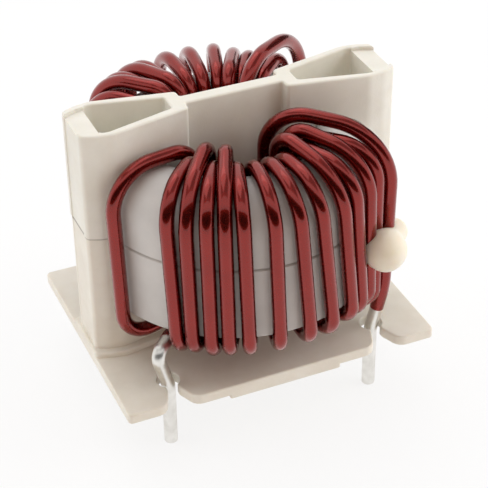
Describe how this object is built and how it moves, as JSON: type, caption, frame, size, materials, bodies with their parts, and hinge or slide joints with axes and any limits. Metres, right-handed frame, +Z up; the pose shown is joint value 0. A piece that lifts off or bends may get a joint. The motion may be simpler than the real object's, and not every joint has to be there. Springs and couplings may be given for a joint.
{
  "type": "toroidal inductor",
  "caption": "Common-mode choke: a cased ring core wound with red enamelled wire on both sides of an ivory divider, on a plate with tinned wire pins for a circuit board.",
  "frame": {"origin": "centre of the pin rectangle on the board face, where the feet of the plate sit", "axes": "+Z up out of the board along the ring's axis, +X along the divider, one winding on the -Y side and the other on the +Y side"},
  "size_m": [0.036, 0.0348, 0.0368],
  "materials": {
    "header_plastic": "satin ivory moulding",
    "divider_plastic": "satin ivory moulding",
    "case_plastic": "satin light grey moulding",
    "ferrite": "fired, matt",
    "enamelled_wire": "glossy dark red enamel",
    "tinned_wire": "bright tinned",
    "adhesive": "cured cream adhesive, slightly glossy"
  },
  "bodies": {
    "root": {"base_header": "header_plastic", "upper_divider": "divider_plastic", "case_lower": "case_plastic", "case_upper": "case_plastic", "ferrite_core": "ferrite", "front_winding": "enamelled_wire", "rear_winding": "enamelled_wire", "front_left_pin": "tinned_wire", "front_right_pin": "tinned_wire", "rear_left_pin": "tinned_wire", "rear_right_pin": "tinned_wire", "front_bead": "adhesive", "rear_bead": "adhesive"}
  },
  "joints": []
}
